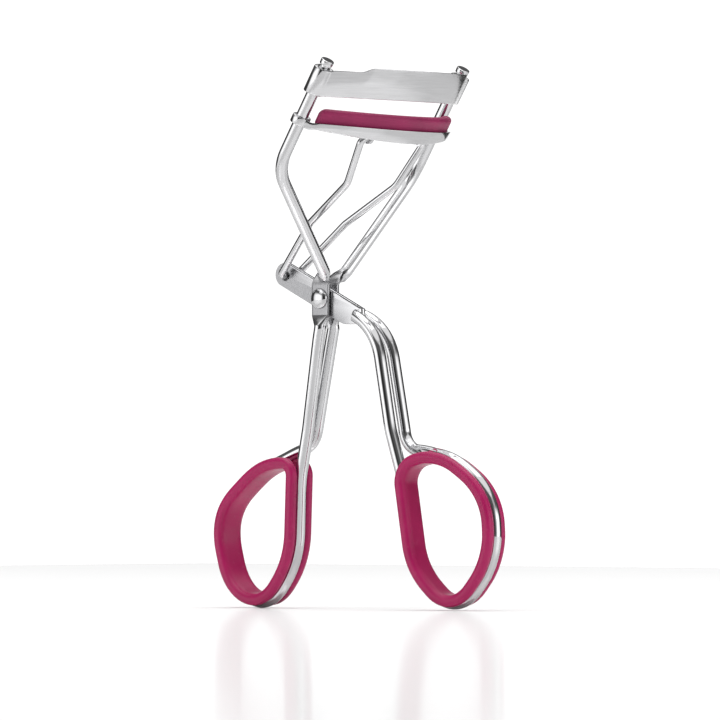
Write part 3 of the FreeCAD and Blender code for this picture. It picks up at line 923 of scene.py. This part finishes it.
class CURLER_OT_lower_jaw(bpy.types.Operator):
    """Build the lower jaw: apron with eyelets, channel and lugs"""
    bl_idname = "curler.lower_jaw"
    bl_label = "Lower jaw"

    def execute(self, context):
        sizes = sizes_of(context)
        bow = Bow(LOWER_RADIUS, LOWER_DIP)
        room = (sizes.pad_w / 2.0 + 0.02) / bow.front
        wall = SHEET / bow.front
        front_r = bow.radius + room + wall / 2.0
        r = sizes.wire_d / 2.0 + 0.3
        last = asin(17.6 / bow.radius)
        arc = [bow.arc(last * (k / 60.0 - 1.0), front_r) for k in range(121)]
        right = curl(r, 1, radians(345))
        left = curl(r, -1, radians(345))[::-1]
        line = left + arc + right
        ends = len(left)
        line = line[:ends] + between(line[ends - 1], line[ends]) + line[ends:]
        line = line[:-ends] + between(line[-ends - 1], line[-ends]) + line[-ends:]
        line = smoothed(line, ends - 1, ends + 11, 16)
        line = smoothed(line, len(line) - ends - 11, len(line) - ends + 1, 16)
        count = len(line)

        def on_eyelet(k, q):
            return 1.0 if k < ends - 1 or k > count - ends else 1.0 - eased(1.5, 3.9, q)

        def keel(x):
            return LIP - 2.8 + 1.3 * (min(abs(x), 18.6) / 18.6) ** 2

        def low(k, x, q):
            return mixed(keel(x), bow.level(EYELET_TOP - EYELET_HEIGHT, q), on_eyelet(k, q))

        def high(k, x, q):
            return mixed(LIP, bow.level(EYELET_TOP, q), on_eyelet(k, q))

        apron = bow.strip(line, APRON, low, high, 0.14)
        inner = [bow.arc(last * (k / 40.0 - 1.0), bow.radius - room - wall / 2.0) for k in range(81)]
        middle = [bow.arc(last * (k / 40.0 - 1.0), bow.radius + wall * 0.1) for k in range(81)]
        rear = bow.strip(inner, SHEET, lambda k, x, q: LIP - CHANNEL, lambda k, x, q: LIP, 0.14)
        floor = bow.strip(middle, sizes.pad_w + 0.3, lambda k, x, q: LIP - CHANNEL,
                          lambda k, x, q: LIP - 0.81, 0.05)
        lugs = []
        wide = sizes.link_d / 2.0 + 0.45
        for side in (-1.0, 1.0):
            rim = [vec(0.0, LUG_HOLE.y + wide, LUG_HOLE.z + 1.1),
                   vec(0.0, LUG_HOLE.y - wide, LUG_HOLE.z + 1.1)]
            rim += [vec(0.0, LUG_HOLE.y - wide * cos(pi * k / 16.0),
                            LUG_HOLE.z - wide * sin(pi * k / 16.0)) for k in range(17)]
            hole = circle_yz(vec(0.0, LUG_HOLE.y, LUG_HOLE.z), sizes.link_d / 2.0 + 0.05, 24)
            lugs.append(plate(rim, [hole], side * LUG_X - LUG_T / 2.0,
                              side * LUG_X + LUG_T / 2.0, 0.05))
        new_piece("lower_jaw_channel", merged(apron, rear, floor, *lugs), "lower_jaw_slide",
                  ["lower_jaw"], MATERIALS["sheet"],
                  lambda p: 0.35 * (1.0 - eased(14.0, 17.5, abs(p.x))))
        return {"FINISHED"}


PAD_LOW, PAD_HIGH = -0.78, 3.08     # from the lip
PAD_CAP = 1.25                      # length of the rounded ends


class CURLER_OT_lash_pad(bpy.types.Operator):
    """Build the rubber lash pad"""
    bl_idname = "curler.lash_pad"
    bl_label = "Lash pad"

    def execute(self, context):
        sizes = sizes_of(context)
        bow = Bow(LOWER_RADIUS, LOWER_DIP)
        last = asin(sizes.pad_reach / bow.radius)
        half = sizes.pad_w / 2.0 - 0.01
        low, high = LIP + PAD_LOW, LIP + PAD_HIGH
        crown = high - half
        profile = [(0.0, low), (-0.8, low), (-0.95, low + 0.06), (-1.0, low + 0.25)]
        profile += [(-1.0, mixed(low + 0.25, crown, k / 4.0)) for k in (1, 2, 3)]
        profile += [(-cos(pi * k / 16.0), crown + half * 0.96 * sin(pi * k / 16.0)
                     + 0.04 * half * k / 8.0) for k in range(9)]
        profile += [(-u, level) for u, level in reversed(profile[1:-1])]
        rings = []
        count = 72
        cap = PAD_CAP / bow.radius
        stations = [(-last + cap * (1.0 - cos(pi * k / 16.0)), sin(pi * k / 16.0))
                    for k in range(1, 9)]
        stations += [(-last + cap + 2.0 * (last - cap) * k / count, 1.0) for k in range(1, count)]
        stations += [(-angle, size) for angle, size in stations[:8][::-1]]
        for angle, size in stations:
            x, q = bow.arc(angle)
            nx, nq = sin(angle), cos(angle) * bow.front
            length = hypot(nx, nq)
            nx, nq = nx / length, nq / length
            drop = (1.0 - size) * half
            rings.append([bow.at(x + nx * u * half * size, q + nq * u * half * size,
                                 min(max(level, low + drop), high - drop)) for u, level in profile])
        pad = new_piece("lash_pad_soft", skin(rings), "lower_jaw_slide", ["lash_pad"],
                        MATERIALS["pad"], sharp=1.2)
        return {"FINISHED"}


# ---- Cushions ----


def cushion_shell(loop, sizes, run, wire_r):
    """Grooved cushion round a loop; it gives way where the wire crosses its rims."""
    half_w, thick = sizes.cushion_w / 2.0, sizes.cushion_t
    groove = wire_r + 0.04
    deep = sizes.wire_sunk + groove
    half = [(deep, 0.0), (deep, groove * 0.9), (deep - 0.12, groove), (1.0, groove),
            (0.55, groove + 0.04), (0.26, groove + 0.16), (0.07, groove + 0.4), 
            (0.0, mixed(groove, half_w, 0.5)), (0.07, half_w - 0.55), (0.28, half_w - 0.24),
            (0.6, half_w - 0.06), (1.0, half_w),
            (thick - 1.15, half_w), (thick - 0.75, half_w - 0.07), (thick - 0.38, half_w - 0.28),
            (thick - 0.12, half_w - 0.65), (thick, half_w - 1.2), (thick, half_w * 0.3), (thick, 0.0)]
    profile = half + [(d, -w) for d, w in reversed(half[1:-1])]
    edge = [p + move for p, move in zip(loop.edge, loop.shift)]
    n = len(edge)
    rings = []
    for k in range(n):
        t = (edge[(k + 1) % n] - edge[k - 1]).normalized()
        inward = vec(-t.z, 0.0, t.x)
        ring = []
        for depth, w in profile:
            p = edge[k] + inward * depth
            ring.append(loop.point((p.x, p.z), w))
        rings.append(ring)
    segments = list(zip(run, run[1:]))
    room = wire_r + 0.03
    for ring in rings:
        for k, p in enumerate(ring):
            best = None
            for a, b in segments:
                d = b - a
                t = min(max((p - a).dot(d) / d.length_squared, 0.0), 1.0)
                away = p - (a + d * t)
                if best is None or away.length < best.length:
                    best = away
            if best.length < room:
                ring[k] = p + best.normalized() * (room - best.length)
    return skin(rings, closed=True)


class CURLER_OT_cushions(bpy.types.Operator):
    """Build the two grooved rubber cushions of the finger loops"""
    bl_idname = "curler.cushions"
    bl_label = "Loop cushions"

    def execute(self, context):
        sizes = sizes_of(context)
        front, back = loops(sizes)
        r = sizes.wire_d / 2.0
        for name, loop, run, body, node in (
                ("frame_loop_cushion_soft", front, frame_line(front), "frame", "frame_loop_cushion"),
                ("lever_loop_cushion_soft", back, lever_line(back), "lever", "lever_loop_cushion")):
            shell = cushion_shell(loop, sizes, [p for p in run if p.z < -24.0], r)
            piece = new_piece(name, shell, body, [node], MATERIALS["cushion"],
                              sharp=1.3)
        return {"FINISHED"}


# ---- Stage ----


def floor_card(size):
    """The square floor that the curler stands on."""
    half = size / 2.0
    mesh = bpy.data.meshes.new("floor")
    mesh.from_pydata([(-half, -half, 0.0), (half, -half, 0.0), (half, half, 0.0), (-half, half, 0.0)],
                     [], [(0, 1, 2, 3)])
    mesh.materials.append(floor_material())
    in_scene("floor", mesh)


# Brightness round the object by degrees from the camera, dark where two lights leave a gap.
STUDIO_LEVELS = ((-180, 1.15), (-169, 1.15), (-163, 0.06), (-106, 0.05), (-96, 1.2), (-72, 1.95),
                 (-50, 1.4), (-36, 0.06), (-14, 0.02), (10, 0.12), (28, 0.7), (44, 1.8), (76, 1.95),
                 (92, 0.9), (104, 0.05), (163, 0.06), (169, 1.15), (180, 1.15))


def studio_world(front):
    """Soft light round the object: bright sides, backdrop and top, darker gaps between them."""
    m = Material("studio", "worlds")
    ray = m.add("ShaderNodeTexCoord")["Generated"]

    def share(*way):
        return m.add("ShaderNodeVectorMath", {"operation": "DOT_PRODUCT"}, {0: ray, 1: way})["Value"]

    ahead = share(sin(front), -cos(front), 0.0)
    right = share(cos(front), sin(front), 0.0)
    turn = m.add("ShaderNodeMath", {"operation": "ARCTAN2"}, {0: right, 1: ahead})[0]
    stops = [(angle / 360.0 + 0.5, level / 2.0) for angle, level in STUDIO_LEVELS]
    ring = m.add("ShaderNodeValToRGB", {"ramp": stops}, {"Fac": turn * (0.5 / pi) + 0.5})["Color"]
    rise = share(0.0, 0.0, 1.0)
    level = m.blend(m.span(rise, 0.25, 0.45, 0.0, 1.0), ring, (0.06, 0.06, 0.06))
    level = m.blend(m.span(rise, 0.62, 0.74, 0.0, 1.0), level, (0.55, 0.55, 0.55))
    shade = m.add("ShaderNodeBackground", None, {"Color": level, "Strength": 2.0})[0]
    m.add("ShaderNodeOutputWorld", None, {"Surface": shade})
    return m.material


def floor_material():
    m = Material("pale_floor")
    matt = m.add("ShaderNodeBsdfDiffuse", None, {"Color": (0.95, 0.95, 0.95, 1.0)})[0]
    shiny = m.add("ShaderNodeBsdfGlossy", None, {"Color": (1.0, 1.0, 1.0, 1.0), "Roughness": 0.1})[0]
    both = m.add("ShaderNodeMixShader", None, {0: 0.26, 1: matt, 2: shiny})[0]
    m.add("ShaderNodeOutputMaterial", None, {"Surface": both})
    return m.material


def soft_light(name, place, target, size, power):
    data = bpy.data.lights.new(name, "AREA")
    data.shape, data.size, data.energy = "SQUARE", size, power
    lamp = in_scene(name, data)
    lamp.location = place
    lamp.rotation_mode = "QUATERNION"
    lamp.rotation_quaternion = (target - place).to_track_quat("-Z", "Y")


VIEW_TURN, VIEW_RISE = -48.2, -1.0
VIEW_DISTANCE = 1.4
VIEW_CENTRE = vec(4.57, -4.81, -11.77)


class CURLER_OT_stage(bpy.types.Operator):
    """Build the pale floor, the soft lights and the camera"""
    bl_idname = "curler.stage"
    bl_label = "Studio"

    def execute(self, context):
        middle = vec(0.0, 0.0, 0.05)
        az = radians(VIEW_TURN)
        floor_card(1.2)

        def around(turn, distance, height):
            a = az + radians(turn)
            return vec(sin(a) * distance, -cos(a) * distance, height)

        soft_light("key_soft", around(-55.0, 0.8, 0.75), middle, 0.5, 0.7)
        soft_light("fill_soft", around(50.0, 0.9, 0.5), middle, 0.6, 0.5)
        soft_light("top_soft", vec(0.0, 0.0, 1.2), middle, 0.9, 6.0)
        context.scene.world = studio_world(az)
        context.scene.view_settings.view_transform = "Standard"
        data = bpy.data.cameras.new("camera")
        camera = in_scene("camera", data)
        tilt = radians(VIEW_RISE)
        backward = vec(sin(az) * cos(tilt), -cos(az) * cos(tilt),
                           sin(tilt))
        camera.rotation_mode = "QUATERNION"
        camera.rotation_quaternion = (-backward).to_track_quat("-Z", "Y")
        camera.location = (PIVOT + VIEW_CENTRE) * METRES + backward * VIEW_DISTANCE
        data.sensor_width = 36.0
        data.lens = 364.0
        data.clip_start, data.clip_end = 0.05, 40.0
        context.scene.camera = camera
        return {"FINISHED"}


class CURLER_PT_panel(bpy.types.Panel):
    """Sizes, colours and pieces of the eyelash curler"""
    bl_idname = "CURLER_PT_panel"
    bl_label = "Eyelash curler"
    bl_space_type = "VIEW_3D"
    bl_region_type = "UI"
    bl_category = "Curler"

    def draw(self, context):
        for group in (context.scene.curler_sizes, context.scene.curler_colours):
            box = self.layout.box()
            for key in group.__annotations__:
                box.prop(group, key)
        for operator in OPERATORS:
            self.layout.operator(operator.bl_idname)


OPERATORS = (CURLER_OT_frame_wire, CURLER_OT_lever_wire, CURLER_OT_link_wire, CURLER_OT_rivet,
             CURLER_OT_upper_jaw, CURLER_OT_lower_jaw, CURLER_OT_lash_pad, CURLER_OT_cushions,
             CURLER_OT_stage)
CLASSES = (CurlerSizes, CurlerColours) + OPERATORS + (CURLER_PT_panel,)
MATERIALS = {}


def register():
    for cls in CLASSES:
        bpy.utils.register_class(cls)
    bpy.types.Scene.curler_sizes = bpy.props.PointerProperty(type=CurlerSizes)
    bpy.types.Scene.curler_colours = bpy.props.PointerProperty(type=CurlerColours)


def unregister():
    del bpy.types.Scene.curler_colours
    del bpy.types.Scene.curler_sizes
    for cls in reversed(CLASSES):
        bpy.utils.unregister_class(cls)


def make_materials(colours):
    MATERIALS["chrome"] = chrome_wire(tuple(colours.chrome), tuple(colours.stamped))
    MATERIALS["sheet"] = brushed_sheet(tuple(colours.chrome))
    MATERIALS["rivet"] = chrome_wire(tuple(colours.chrome), tuple(colours.stamped))
    MATERIALS["cushion"] = rubber("cushion_rubber", tuple(colours.cushion), tuple(colours.cushion_dark),
                                  0.32, 0.12)
    MATERIALS["pad"] = rubber("pad_rubber", tuple(colours.pad), tuple(colours.pad_dark), 0.52, 0.25)


def main():
    register()
    make_materials(bpy.context.scene.curler_colours)
    for operator in OPERATORS:
        group, name = operator.bl_idname.split(".")
        getattr(getattr(bpy.ops, group), name)()


if __name__ == "__main__":
    main()
